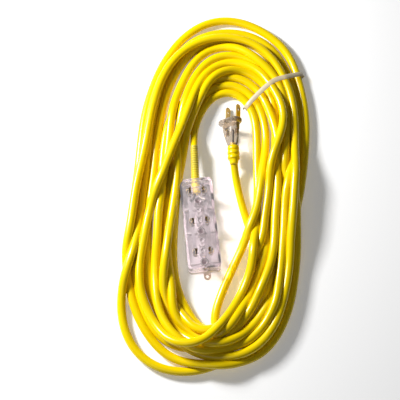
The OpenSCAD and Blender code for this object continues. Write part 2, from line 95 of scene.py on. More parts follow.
# ---------------------------------------------------------------- the cord's route, in mm
# Each point is where the cord's middle would lie if it lay on the floor, and a guess of
# how many cords it lies above. The route runs from the plug to the power block.
PASSES = [
    # pass P
    (25.5, -6.8, 0.2), (28.9, -20.4, 0), (33.7, -35.9, 0), (38.4, -49.3, 0), (43.7, -62.5, 0), (47.8, -77.7,
    0), (49.5, -93.7, 0), (50.7, -108.7, 0), (51.9, -122.5, 0), (50.7, -136.1, 0), (45.1, -148.8, 0), (35.4,
    -157.4, 0), (22.9, -159.8, 0), (11, -155.5, 0), (2.4, -146.3, 0), (-1, -137.1, 0),
    # pass S
    (0.7, -128.3, 0.4), (4.3, -114.6, 0.8), (8.4, -103.2, 1), (12.7, -92.8, 1), (17.2, -82.7, 1), (21.7,
    -72.7, 1), (26.6, -62.5, 1), (31.5, -53.4, 1), (35.3, -44.2, 1.2), (38.6, -34.9, 1.4), (41.8, -23.5, 1.5),
    (44.3, -11, 1.5), (45.7, -0.5, 1.5), (46.9, 10, 1.5), (48.5, 20.6, 1.4), (50.3, 31.3, 1.3), (52, 42.1,
    1.2), (53, 52.9, 1.2), (52.9, 63.7, 1.2), (50.3, 74.7, 1.1), (47.2, 85.6, 1), (42.1, 95.6, 1), (35.5,
    103.4, 1), (27.3, 110.1, 1),
    # pass T8
    (15, 114.3, 1), (5.7, 112.9, 0.8), (-2.6, 108.4, 0.5), (-9.9, 100.6, 0.3), (-16.1, 91.7, 0), (-21.2, 82.3,
    0), (-25.3, 72.5, 0), (-28.8, 61.5, 0), (-32.8, 49.6, 0), (-36.3, 36.7, 0), (-39.7, 23.8, 0), (-42.2,
    12.2, 0), (-44.1, 0.5, 0.5), (-45.7, -11, 0.6), (-46.9, -22.5, 0.5), (-47.5, -33.9, 0.3), (-47.7, -47.2,
    0), (-47, -62.5, 0), (-45.4, -77.7, 0), (-43, -92.8, 0.3), (-41.5, -105.7, 0.5), (-39.2, -116.6, 0.5),
    (-35.5, -127.4, 0.6), (-30.4, -136.6, 0.6), (-23.6, -144.9, 0.6), (-15.9, -149.2, 0.5), (-7.3, -150.7,
    0.6), (1.4, -148.3, 0.8),
    # pass Q
    (9.1, -142.5, 1), (15.9, -135.2, 1), (20.8, -128.3, 1), (25.7, -121.5, 1), (32.2, -111.6, 1), (37.2,
    -102.2, 1), (41.2, -92.8, 1), (44.8, -82.7, 1), (47.7, -72.7, 1), (49.9, -62.5, 1), (51.8, -51.3, 0.9),
    (53.5, -39, 0.8), (55.2, -26.6, 0.7), (56.9, -14.1, 0.5), (58.7, -0.5, 0.3), (60.5, 13.2, 0.3), (62.8, 27,
    0.3), (65.7, 42.1, 0.3), (68, 56.1, 0.3), (68.3, 68.1, 0.3), (66.5, 79, 0.4), (63.6, 90.1, 0.6), (59.7,
    101.1, 0.8), (54.8, 111.2, 0.9), (47.2, 120.1, 1), (37.9, 126.9, 1), (27.1, 130.3, 1),
    # pass T6
    (15.1, 130.1, 1), (6.8, 128, 1), (-0.5, 123, 1), (-6.8, 115.7, 1), (-11.9, 106.7, 1), (-16.1, 96.7, 1),
    (-20.4, 86.7, 1), (-23.7, 76.8, 1), (-27, 65.9, 0.8), (-30.3, 53.9, 0.5), (-33.1, 42.1, 0.3), (-34.6,
    31.3, 0), (-36.2, 18.5, 0), (-37.3, 5.8, 0), (-39.2, -6.8, 0), (-41.1, -19.3, 0), (-42.6, -31.8, 0),
    (-42.7, -44.2, 0), (-41.9, -56.4, 0), (-41.4, -68.6, 0), (-40.5, -80.7, 0.2), (-38.7, -92.8, 0.4), (-36.2,
    -104.7, 0.7), (-31.5, -116.6, 1), (-25.1, -127.4, 1), (-17.9, -136.6, 1), (-9.2, -143.4, 0.9), (-0.5,
    -147.8, 0.5), (9.1, -149.2, 0.3), (18.7, -146.3, 0.3), (27.5, -139.1, 0.4), (34.8, -130.3, 0.6),
    # pass V
    (40.7, -122.5, 0.6), (46.5, -112.6, 0.6), (51.3, -102.7, 0.6), (55.1, -92.8, 0.5), (58, -82.7, 0.4), (60,
    -72.7, 0.3), (61.4, -62.5, 0.2), (62.4, -52.3, 0), (62.9, -42.1, 0), (63.4, -28.7, 0), (64.4, -15.2, 0),
    (65.7, -0.5, 0), (66.8, 12.2, 0), (67.6, 24.9, 0), (68.6, 37.8, 0), (69.9, 50.7, 0), (70.7, 63.7, 0), (71,
    76.8, 0), (70.3, 90.1, 0.2), (68, 102.3, 0.3), (63.6, 113.4, 0.4), (57.6, 123.5, 0.5), (50.5, 132, 0.5),
    (42.3, 138.8, 0.5), (34, 143.9, 0.6), (25.7, 146.7, 0.6),
    # pass T4
    (15.2, 147.5, 0.6), (4.8, 145.8, 0.6), (-3.6, 141.6, 0.6), (-10.9, 134.8, 0.6), (-17.1, 126.3, 0.6),
    (-21.8, 116.8, 0.6), (-25.9, 106.7, 0.7), (-29.4, 96.2, 0.8), (-32.2, 85.6, 0.9), (-34.3, 74.7, 1),
    (-35.6, 63.7, 1), (-36.1, 52.9, 1), (-36, 42.1, 1), (-36.1, 31.3, 1), (-37, 20.6, 1), (-37.7, 10, 1),
    (-38.8, -0.5, 1), (-40, -11, 1), (-41.7, -21.4, 1), (-43.2, -31.8, 1), (-44.7, -42.1, 1), (-46, -52.3, 1),
    (-47.2, -62.5, 1), (-48.2, -72.7, 1), (-49, -82.7, 1), (-48.9, -92.8, 1), (-48.1, -102.7, 1), (-46.8,
    -112.6, 1), (-44.8, -122.5, 1), (-41.2, -132.2, 1), (-37.3, -140, 0.9), (-32.3, -146.3, 0.7), (-25.5,
    -151.7, 0.5), (-16.9, -154.6, 0.4), (-6.3, -155.3, 0.3), (5.2, -154.1, 0.5),
    # pass dk1
    (15.8, -151.2, 0.7), (25.4, -147.3, 0.7), (34.2, -141, 0.6), (41.1, -133.7, 0.5), (47, -125.4, 0.4),
    (51.5, -116.6, 0.3), (55.4, -105.7, 0.2), (58.8, -93.7, 0), (61.5, -81.7, 0), (64, -68.6, 0), (65.7,
    -55.4, 0), (66.6, -41.1, 0.2), (67.4, -26.6, 0.3), (68.3, -12, 0.3), (69.3, 2.6, 0.3), (70.2, 17.5, 0.3),
    (71.3, 32.4, 0.3), (72.7, 46.4, 0.3), (74, 59.4, 0.3), (74.8, 72.5, 0.3), (74.6, 84.5, 0.3), (72.8, 95.6,
    0.4), (69.6, 106.2, 0.6), (65.4, 116.2, 0.8), (60.2, 125.2, 0.9), (54.1, 133.7, 1), (47.3, 140.7, 1),
    (40.3, 146.7, 1), (33, 151.9, 1), (24.7, 155.5, 1),
    # pass T3
    (15.3, 156.7, 1), (3.8, 156.1, 1), (-5.6, 152.4, 1), (-14, 146.2, 1), (-21.3, 137.1, 1), (-27, 126.9, 1),
    (-32.1, 115.7, 1), (-36.2, 105.6, 1), (-39.7, 95.6, 1), (-42.1, 85.6, 1), (-43.7, 74.7, 1), (-44.8, 63.7,
    1), (-45.6, 52.9, 0.9), (-46.7, 42.1, 0.6), (-48.4, 31.3, 0.4), (-50, 20.6, 0.3), (-51.9, 10, 0.2),
    (-53.6, -0.5, 0.1), (-55, -11, 0.1), (-55.6, -21.4, 0.2), (-55.8, -31.8, 0.4), (-55.8, -42.1, 0.6),
    (-56.2, -52.3, 0.8), (-57.2, -62.5, 1), (-57.9, -72.7, 1), (-58.3, -82.7, 1), (-58.3, -92.8, 1), (-57.7,
    -102.7, 1), (-56.6, -112.6, 1), (-53.9, -122.5, 1), (-49.8, -132.2, 1), (-44.1, -141.5, 0.8), (-37.1,
    -149.7, 0.5), (-27.9, -156, 0.4), (-16.9, -159.4, 0.5), (-4.4, -160.5, 0.7),
    # pass B1
    (9, -160.3, 1), (20.5, -158.2, 1), (30.2, -154.1, 1), (38.4, -148.1, 1), (45.6, -140.5, 1), (51.7, -131.3,
    0.9), (56.3, -121, 0.8), (59.7, -109.6, 0.7), (62.6, -97.7, 0.6), (64.9, -84.7, 0.6), (66.8, -71.7, 0.6),
    (68.1, -57.4, 0.6), (69.1, -43.1, 0.6), (69.9, -28.7, 0.5), (70.9, -14.1, 0.4), (72.3, 1.6, 0.4), (73.7,
    17.5, 0.4), (75.1, 32.4, 0.4), (76.4, 47.4, 0.3), (77.8, 62.6, 0.2), (78.7, 76.8, 0.1), (78.7, 90.1, 0),
    (77.3, 102.3, 0), (74.4, 112.9, 0), (71.1, 123, 0), (67.1, 133.1, 0), (61.6, 142.4, 0), (54.5, 151.1, 0),
    (46.7, 157.8, 0), (37.9, 162.8, 0), (28, 165.6, 0),
    # pass T2
    (15.4, 166.2, 0), (1.7, 164.5, 0), (-9.8, 160.3, 0), (-20.3, 154.2, 0.1), (-29.1, 145.6, 0.3), (-36.6,
    134.8, 0.5), (-42.7, 123, 0.7), (-47.6, 111.2, 0.8), (-51.3, 98.9, 0.9), (-54.3, 86.7, 1), (-56.5, 74.7,
    1), (-58, 63.7, 1), (-59.3, 52.9, 1), (-60, 42.1, 1), (-60.5, 31.3, 1), (-61, 20.6, 0.9), (-61.7, 10,
    0.6), (-62.8, -0.5, 0.3), (-64, -11, 0.1), (-64.9, -21.4, 0), (-65.4, -31.8, 0), (-65.5, -42.1, 0),
    (-65.6, -52.3, 0), (-65.7, -62.5, 0), (-66, -72.7, 0), (-65.9, -82.7, 0), (-65.1, -92.8, 0), (-63, -102.7,
    0), (-59.5, -111.6, 0), (-55.7, -120.5, 0), (-51, -130.3, 0), (-45, -139.6, 0), (-38, -147.8, 0), (-29.4,
    -155.5, 0.1), (-19.7, -162.2, 0.3), (-9.2, -166.8, 0.6),
    # pass M
    (1.3, -169, 0.8), (12.8, -169.1, 1), (24.3, -166.6, 1), (33.9, -162.2, 1), (42.6, -156.5, 1), (49.9,
    -148.8, 1), (55.9, -140, 1), (60.4, -130.3, 1), (63.9, -120.5, 1), (66.9, -110.6, 1), (69.7, -99.7, 1),
    (71.9, -88.8, 1), (73.6, -77.7, 1), (75.1, -66.6, 1), (76.4, -55.4, 1), (77.5, -44.2, 1), (78.5, -32.8,
    0.9), (79.3, -21.4, 0.9), (80, -10, 1), (80.7, 1.6, 1), (81.3, 14.3, 1), (81.7, 27, 1), (82.1, 39.9, 1),
    (82.6, 52.9, 1), (82.7, 64.8, 1), (82.1, 76.8, 1), (80.8, 89, 1), (78.8, 101.1, 1), (76, 112.3, 1), (72.6,
    122.4, 1), (68.2, 132.5, 1), (62.4, 141.8, 1), (55.5, 150.4, 1), (47.2, 157.4, 1), (37.9, 162.4, 1),
    (26.9, 166.1, 1),
    # pass T1
    (15.4, 167.9, 1), (2.8, 167.7, 1), (-8.8, 165.3, 1), (-19.2, 160.8, 1), (-29.2, 154.2, 1), (-38.5, 145.6,
    1), (-46, 135.4, 1), (-51.9, 124.6, 1), (-56.4, 113.4, 1), (-59.7, 102.3, 1), (-62.5, 91.2, 1), (-64.5,
    81.2, 1), (-66, 71.4, 1), (-67.3, 61.5, 1), (-68.9, 51.8, 1), (-70.6, 42.1, 1), (-72.7, 31.3, 1), (-74.7,
    20.6, 1), (-77.2, 10, 1), (-78.8, -0.5, 1), (-80.1, -11, 1), (-81.4, -21.4, 1), (-82.6, -31.8, 1), (-83.5,
    -42.1, 0.9), (-84.2, -52.3, 0.8), (-84.7, -62.5, 0.6), (-84.8, -72.7, 0.3), (-83.8, -82.7, 0.1), (-82.1,
    -92.8, 0), (-80.2, -102.7, 0.2), (-78, -112.6, 0.5), (-75.1, -122.5, 0.8), (-71.3, -132.2, 1), (-66.5,
    -142, 1), (-60.3, -151.7, 1), (-53, -160.3, 1), (-44.6, -167, 1), (-35, -171.8, 1), (-24.5, -174, 1),
    (-13, -174.5, 1), (-0.6, -174.7, 1),
    # pass OR1
    (12.7, -173.9, 1), (24.2, -171.6, 1), (34.3, -167.8, 1), (43.5, -162.1, 1), (51.8, -154.6, 1), (58.7,
    -145.9, 1), (64.2, -136.1, 1), (68.6, -125.4, 1), (71.8, -113.6, 1), (73.9, -101.7, 1), (75.4, -89.8,
    0.9), (76.8, -76.7, 0.8), (78.2, -63.5, 0.7), (79.7, -50.3, 0.6), (80.9, -37, 0.5), (82, -23.5, 0.4), (83,
    -10, 0.3), (84.1, 3.7, 0.2), (85.1, 17.5, 0.1), (86, 31.3, 0), (86.5, 45.3, 0), (86.2, 58.3, 0), (85.4,
    71.4, 0), (84.2, 83.4, 0), (82.5, 95.6, 0), (80, 107.3, 0), (76.9, 118.5, 0), (73.3, 128.6, 0), (68.8,
    138.4, 0), (63.3, 147.5, 0), (56.3, 155.9, 0), (47.8, 162.4, 0), (38, 166.8, 0), (27, 169.4, 0),
    # pass h1
    (15.4, 170.9, 0), (2.8, 170.5, 0), (-8.8, 167.2, 0), (-19.2, 161.6, 0), (-28.6, 153.8, 0), (-37, 144.1,
    0), (-43.9, 133.1, 0), (-49.3, 121.3, 0), (-53.3, 109.5, 0), (-56.2, 97.8, 0), (-58.7, 85.6, 0), (-60.6,
    73.6, 0), (-62.2, 61.5, 0), (-63.6, 49.6, 0), (-65, 38.8, 0.1), (-66.6, 29.2, 0.2), (-68, 19.6, 0.3),
    (-69.3, 10, 0.5), (-70.6, -0.5, 0.6), (-72, -11, 0.7), (-73.6, -21.4, 0.8), (-75.2, -31.8, 1), (-77,
    -42.1, 1.1), (-78.9, -52.3, 1.3), (-81.2, -62.5, 1.5), (-83.9, -72.7, 1.5), (-86.3, -82.7, 1.2), (-88.4,
    -92.8, 0.8), (-89.8, -102.7, 0.4), (-90.5, -112.6, 0.1), (-90.3, -122.5, 0), (-89.1, -132.2, 0), (-86.6,
    -142, 0), (-82.5, -151.7, 0), (-77, -160.3, 0), (-69.9, -168, 0), (-61.4, -174.4, 0), (-51.7, -178.8, 0),
    (-40.7, -181.5, 0), (-29.2, -182.3, 0), (-17.8, -181.3, 0), (-7.3, -178.8, 0), (2.2, -175.2, 0),
    # pass OR2
    (12.8, -170.9, 0), (23.3, -166.6, 0), (33.4, -161.3, 0), (42.6, -154.6, 0), (51, -146.3, 0), (57.7,
    -137.1, 0), (63.4, -126.4, 0), (67.9, -115.1, 0), (71.1, -102.7, 0), (73.5, -89.8, 0), (75.6, -76.7, 0),
    (77.4, -63.5, 0), (79, -50.3, 0), (80.3, -37, 0), (81.7, -23.5, 0), (83.2, -10, 0.2), (84.7, 3.7, 0.4),
    (86.3, 17.5, 0.6), (87.7, 31.3, 0.8), (88.9, 44.2, 1), (89.9, 57.2, 1), (90.6, 70.3, 1), (90.7, 82.3, 1),
    (89.9, 94.5, 1), (88.9, 105.6, 1), (87.7, 116.8, 1), (85.7, 127.5, 1), (82.3, 138.2, 0.9), (77.4, 148.4,
    0.7), (71.1, 157.3, 0.5), (63.3, 165.1, 0.3), (54.3, 172.2, 0.1), (44.9, 177.8, 0), (35.5, 182.1, 0),
    (25.5, 185.1, 0),
    # pass A
    (15.5, 186.6, 0), (3.9, 186.2, 0), (-7.1, 183.1, 0), (-17.7, 177.4, 0), (-27.3, 170.2, 0), (-35.5, 162.2,
    0), (-42.6, 152.4, 0), (-49.1, 141.6, 0), (-54.5, 130.3, 0), (-59.1, 119.6, 0), (-63, 108.9, 0), (-66.5,
    97.8, 0), (-69.3, 86.7, 0), (-71.3, 75.2, 0), (-72.9, 63.7, 0), (-73.5, 52.9, 0), (-74.2, 42.1, 0),
    (-74.8, 31.3, 0), (-75.8, 20.6, 0), (-77.4, 10, 0), (-78.7, -0.5, 0), (-79.8, -11, 0), (-80.8, -21.4, 0),
    (-81.6, -31.8, 0), (-82.4, -42.1, 0), (-82.6, -52.3, 0), (-82, -62.5, 0), (-80.8, -72.7, 0), (-79.5,
    -82.7, 0), (-78.3, -92.8, 0.1), (-76.9, -102.7, 0.1), (-73.8, -112.6, 0.1), (-69.2, -123.4, 0), (-63.7,
    -133.7, 0), (-56.9, -143.4, 0), (-48.6, -151.7, 0), (-38.9, -157.4, 0), (-27.4, -160.1, 0), (-15.9,
    -158.9, 0), (-5.4, -155, 0.1), (2.3, -150.7, 0.3),
    # pass K
    (10.1, -145.7, 1), (18.8, -139.1, 1), (27.1, -131.1, 1), (34.5, -122, 1), (40.4, -112.6, 1), (45.4,
    -102.7, 1), (49.5, -93.3, 1), (53.1, -83.7, 1), (55.9, -74.2, 1), (58, -64.6, 1), (59.4, -54.4, 1), (60.1,
    -44.2, 1), (60.5, -33.9, 1), (61, -23.5, 1), (62, -13.1, 0.9), (63.5, -2.6, 0.8), (64.7, 9, 0.7), (65.7,
    20.6, 0.7), (66.2, 32.4, 0.7), (65.6, 44.2, 0.8), (64, 56.1, 0.9), (62.4, 65.9, 1), (59.8, 76.8, 1),
    (56.4, 86.7, 1), (52.4, 96.2, 1), (47.4, 105, 1), (40.8, 112.6, 1), (33.1, 118.1, 1), (24.4, 121.6, 1),
    # pass T7
    (15, 123.2, 0.9), (5.7, 121.8, 0.5), (-3.6, 116.8, 0.2), (-13.5, 108.9, 0), (-23.8, 100.6, 0), (-33, 91.7,
    0), (-40.7, 81.8, 0), (-46.2, 70.8, 0), (-49.7, 59.4, 0), (-51.3, 47.4, 0), (-52.2, 35.6, 0), (-52.8,
    23.8, 0), (-53.1, 12.2, 0), (-52.8, 0.5, 0), (-52.1, -11, 0), (-51.6, -22.5, 0), (-51.3, -34.9, 0),
    (-51.1, -48.3, 0), (-50.7, -61.5, 0), (-49.6, -74.7, 0), (-47.8, -87.8, 0), (-45.2, -100.7, 0), (-41.7,
    -112.6, 0), (-37, -123.4, 0), (-31.4, -133.2, 0.2), (-24.8, -139.8, 0.5), (-17.9, -143.7, 0.8), (-9.9,
    -145.6, 1), (-1.7, -145.2, 1.1), (6.2, -142.6, 1.1), (13.3, -137.9, 1), (18.9, -131.3, 0.8), (22.8,
    -121.5, 0.7),
    # pass R2
    (26.3, -110.6, 0.6), (29.4, -101.7, 0.6), (33.4, -90.8, 0.6), (37, -79.7, 0.6), (40.3, -68.6, 0.6), (43.5,
    -58.5, 0.8), (46.4, -47.7, 1), (48.7, -37, 1), (50.7, -26.6, 1), (52.6, -16.2, 1), (54.3, -5.8, 1), (55.8,
    4.8, 1), (57, 15.3, 1), (58.2, 26, 1.2), (60.2, 36.7, 1.5), (63.7, 47.4, 1.7), (67.7, 58.3, 1.8), (71.1,
    69.2, 1.8), (72.3, 80.1, 1.8), (71.2, 91.2, 1.7), (67.4, 102.3, 1.6), (62, 112.3, 1.5), (56, 121.3, 1.5),
    (48.9, 128.6, 1.5), (40.6, 134.2, 1.5), (32.3, 137.6, 1.5), (23.5, 139.1, 1.5),
    # pass T5
    (15.2, 139.2, 1.5), (6.3, 137.3, 1.5), (-2, 132.2, 1.5), (-9.3, 124.6, 1.5), (-14.7, 114.5, 1.5), (-18.6,
    103.9, 1.6), (-22.4, 93.9, 1.7), (-26.6, 83.4, 1.8), (-30.5, 73.6, 1.9), (-34.6, 63.7, 2), (-39, 52.9, 2),
    (-43.4, 42.1, 2), (-47.5, 31.3, 2), (-50.8, 20.6, 2), (-54.2, 10, 1.9), (-58.1, -0.5, 1.7), (-61.6, -11,
    1.5), (-64.1, -21.4, 1.5), (-66.4, -31.8, 1.4), (-68.5, -42.1, 1.3), (-70.3, -52.3, 1.1), (-72, -62.5, 1),
    (-73.3, -72.7, 1), (-73.8, -82.7, 1), (-73.6, -92.8, 1), (-72.2, -102.7, 1), (-69.3, -112.6, 1), (-65.2,
    -122.5, 1.2), (-59.8, -132.2, 1.5), (-52.8, -142, 1.8), (-44.3, -150.2, 2), (-33.7, -155.2, 2.2), (-23.1,
    -155.5, 2.3), (-13.5, -152.2, 2.3), (-3.9, -146, 2.3), (5.3, -137.6, 2.2),
    # pass R1
    (14.3, -127.8, 1.9), (21.6, -117, 1.7), (26.9, -106.2, 1.5), (30.9, -95.7, 1.4), (34.3, -85.7, 1.3),
    (37.3, -75.7, 1.2), (39.4, -65.6, 1), (40.1, -55.4, 0.8), (40, -46.2, 0.6), (40.8, -35.9, 0.4), (42.1,
    -24.5, 0.2), (43.3, -13.1, 0), (44.2, -1.6, 0), (44.5, 10, 0), (44.3, 21.7, 0.2), (43.9, 33.5, 0.4),
    (43.7, 44.2, 0.6), (43.7, 55, 0.7), (43.2, 65.9, 0.7), (42.1, 76.8, 0.7), (39.4, 86.7, 0.7), (35.4, 94.5,
    0.6), (29.8, 100.8, 0.5), (22.6, 105.3, 0.4),
    # pass T9
    (14.9, 106.7, 0.3), (6.1, 105, 0), (-2.1, 100, 0), (-8.9, 92.3, 0), (-14, 83.4, 0), (-17.8, 74.1, 0),
    (-20.1, 64.8, 0.2),
]

EYE = np.array([AIM.x * 1000, AIM.y * 1000 - 1050 * math.cos(math.radians(ELEV)), 1050 * math.sin(math.radians(ELEV))])
REST_Z = 4.25
PLUG_EXIT = np.array([19.8, 25.4, 12.8])
BLOCK_EXIT = np.array([-19.8, 38.6, 12.0])


def on_floor(x, y, z):
    """The route point whose cord stands at height z over x, y."""
    k = z / EYE[2]
    f = (np.array([x, y]) - EYE[:2] * k) / (1 - k)
    return (f[0], f[1], (z - REST_Z) / 7.0)


def lay_cord():
    """Lays the route under its own weight: stiff, a cord's width from itself, nothing through the floor."""
    route = [on_floor(*PLUG_EXIT), on_floor(20.1, 19, 12.9), on_floor(20.9, 12, 12.2)]
    route += PASSES
    route += [on_floor(-20.4, 44, 11.8), on_floor(*BLOCK_EXIT)]
    step, d = 4.0, 8.1
    q = catmull(np.array(route, float), step)
    flat, level = q[:, :2], q[:, 2]

    def over(z):
        return flat + (EYE[:2] - flat) * (z / EYE[2])[:, None]

    z = REST_Z + 7.0 * level
    p = np.column_stack([over(z), z])
    n = len(p)
    rank = np.convolve(np.pad(level, 4, mode="edge"), np.ones(9) / 9, mode="valid") + np.arange(n) * 1e-6
    # bending: (1 + k D4) undone at once, as a short kernel
    k_bend, tight = 2.0, (3 * step) ** 2 / 31.0
    w = 2 * np.pi * np.fft.fftfreq(256)
    kernel = np.fft.ifft(1 / (1 + k_bend * (2 - 2 * np.cos(w)) ** 2)).real
    kernel = np.r_[kernel[-16:], kernel[:17]]
    kernel /= kernel.sum()

    def stiffen(c):
        c = np.concatenate([2 * c[0] - c[16:0:-1], c, 2 * c[-1] - c[-2:-18:-1]])
        return np.convolve(c, kernel, mode="valid")

    rounds = 400
    for it in range(rounds):
        if it % 12 == 0:
            f = p.astype(np.float32)
            near = ((f[:, None, :2] - f[None, :, :2]) ** 2).sum(2)
            near += np.maximum(0, np.abs(f[:, None, 2] - f[None, :, 2]) - 4) ** 2
            i_all, j_all = np.where(near < (d + 3.0) ** 2)
            keep = j_all - i_all > 8
            i_all, j_all = i_all[keep], j_all[keep]
            side = np.where(rank[j_all] > rank[i_all], 1.0, -1.0)
        p[:, 2] -= 0.35 * (1 - it / rounds) + 0.03
        p[:, :2] += 0.12 * (over(p[:, 2]) - p[:, :2])
        p = np.column_stack([stiffen(p[:, 0]), stiffen(p[:, 1]), stiffen(p[:, 2])])
        for turn in range(4):
            # no bend tighter than 31 mm
            bend = p[:-6] - 2 * p[3:-3] + p[6:]
            size = np.sqrt((bend ** 2).sum(1)) + 1e-9
            ease = 0.25 * np.maximum(0, 1 - tight / size)[:, None] * bend
            p[3:-3] += ease
            p[:-6] -= 0.5 * ease
            p[6:] -= 0.5 * ease
            # two stretches lie a cord's width apart; one that crosses another goes over it
            v = p[j_all] - p[i_all]
            h2 = (v[:, :2] ** 2).sum(1)
            cross = h2 < (0.45 * d) ** 2
            rise = side * np.sqrt(np.maximum(0, d * d - h2))
            lack = np.where(cross & (side * v[:, 2] < side * rise), rise - v[:, 2], 0)
            m = np.abs(lack) > 0.01
            np.add.at(p[:, 2], i_all[m], -0.25 * lack[m])
            np.add.at(p[:, 2], j_all[m], 0.25 * lack[m])
            dist = np.sqrt((v ** 2).sum(1)) + 1e-9
            m = (dist < d) & ~cross
            push = 0.225 * ((d - dist[m]) / dist[m])[:, None] * v[m]
            np.add.at(p, i_all[m], -push)
            np.add.at(p, j_all[m], push)
            p[:, 2] = np.maximum(p[:, 2], REST_Z)
        p[0], p[-1] = PLUG_EXIT, BLOCK_EXIT
    for _ in range(6):
        p[1:-1] = 0.5 * p[1:-1] + 0.25 * (p[:-2] + p[2:])
    return resample(p, 3.0)


def tube(name, line, wide, high, sides=20, roll=None, ripple=0.0, scale=None):
    """A cord of oval section along line, in mm; its wide side lies level where roll is 0."""
    n = len(line)
    t = np.gradient(line, axis=0)
    t /= np.linalg.norm(t, axis=1)[:, None]
    u = np.cross(t, [0, 0, 1.0])
    u /= np.linalg.norm(u, axis=1)[:, None]
    v = np.cross(u, t)
    s = np.r_[0, np.cumsum(np.linalg.norm(np.diff(line, axis=0), axis=1))]
    roll = np.zeros(n) if roll is None else roll
    ang = np.linspace(0, 2 * np.pi, sides, endpoint=False)
    rings = []
    for i in range(n):
        a = ang + roll[i]
        r = 1 / np.sqrt((np.cos(ang) / wide) ** 2 + (np.sin(ang) / high) ** 2)
        r = r * (1 + ripple * np.cos(3 * ang + s[i] / 9.0) * 0.5 + ripple * 0.5 * np.sin(s[i] / 13.0 + np.sin(s[i] / 37.0)))
        r = r * (1 if scale is None else scale[i])
        rings.append(line[i] + np.outer(r * np.cos(a), u[i]) + np.outer(r * np.sin(a), v[i]))
    caps = []
    for end, sign in ((0, -1), (n - 1, 1)):
        caps.append([line[end] + (rings[end] - line[end]) * math.cos(k) + sign * t[end] * high * math.sin(k) for k in (0.45, 0.9, 1.3)])
    rings = caps[0][::-1] + rings + caps[1]
    m = len(rings)
    verts = np.vstack(rings) * MM
    faces = []
    for i in range(m - 1):
        for k in range(sides):
            k2 = (k + 1) % sides
            faces.append((i * sides + k, i * sides + k2, (i + 1) * sides + k2, (i + 1) * sides + k))
    faces.append(tuple(range(sides))[::-1])
    faces.append(tuple((m - 1) * sides + k for k in range(sides)))
    ob = new_mesh(name, verts, faces)
    return ob


line = lay_cord()
arc = np.r_[0, np.cumsum(np.linalg.norm(np.diff(line, axis=0), axis=1))]
roll = 0.5 * np.sin(arc / 170.0) + 0.35 * np.sin(arc / 61.0 + 1.0)
# the moulded ends grip the cord and draw it a little thinner
thin = 1 - 0.13 * np.exp(-arc / 90.0) - 0.2 * np.exp(-(arc[-1] - arc) / 40.0)
cord = tube("extension_cord", line, 4.28, 3.96, roll=roll, ripple=0.01, scale=thin)
# ---------------------------------------------------------------- materials
def material(name):
    m = bpy.data.materials.new(name)
    m.use_nodes = True
    nt = m.node_tree
    bsdf = nt.nodes["Principled BSDF"]
    return m, nt, bsdf


def vinyl(name, base, rough=0.2, noise=420.0, bump=0.05, tint=(0.86, 0.66, 0.0, 1), sss=0.0):
    m, nt, b = material(name)
    tc = nt.nodes.new("ShaderNodeTexCoord")
    n1 = nt.nodes.new("ShaderNodeTexNoise")
    n1.inputs["Scale"].default_value = 28.0
    n1.inputs["Detail"].default_value = 4.0
    ramp = nt.nodes.new("ShaderNodeMix")
    ramp.data_type = "RGBA"
    ramp.inputs["A"].default_value = base
    ramp.inputs["B"].default_value = tint
    mp = nt.nodes.new("ShaderNodeMapRange")
    mp.inputs["From Min"].default_value = 0.35
    mp.inputs["From Max"].default_value = 0.75
    nt.links.new(tc.outputs["Object"], n1.inputs["Vector"])
    nt.links.new(n1.outputs["Fac"], mp.inputs["Value"])
    nt.links.new(mp.outputs["Result"], ramp.inputs["Factor"])
    nt.links.new(ramp.outputs["Result"], b.inputs["Base Color"])
    n2 = nt.nodes.new("ShaderNodeTexNoise")
    n2.inputs["Scale"].default_value = noise
    n2.inputs["Detail"].default_value = 3.0
    nt.links.new(tc.outputs["Object"], n2.inputs["Vector"])
    r = nt.nodes.new("ShaderNodeMapRange")
    r.inputs["To Min"].default_value = rough - 0.05
    r.inputs["To Max"].default_value = rough + 0.07
    nt.links.new(n2.outputs["Fac"], r.inputs["Value"])
    nt.links.new(r.outputs["Result"], b.inputs["Roughness"])
    bp = nt.nodes.new("ShaderNodeBump")
    bp.inputs["Strength"].default_value = bump
    bp.inputs["Distance"].default_value = 0.0004
    nt.links.new(n2.outputs["Fac"], bp.inputs["Height"])
    nt.links.new(bp.outputs["Normal"], b.inputs["Normal"])
    b.inputs["IOR"].default_value = 1.5
    b.inputs["Specular IOR Level"].default_value = 0.42
    b.inputs["Subsurface Weight"].default_value = sss
    b.inputs["Subsurface Radius"].default_value = (0.004, 0.003, 0.0004)
    return m


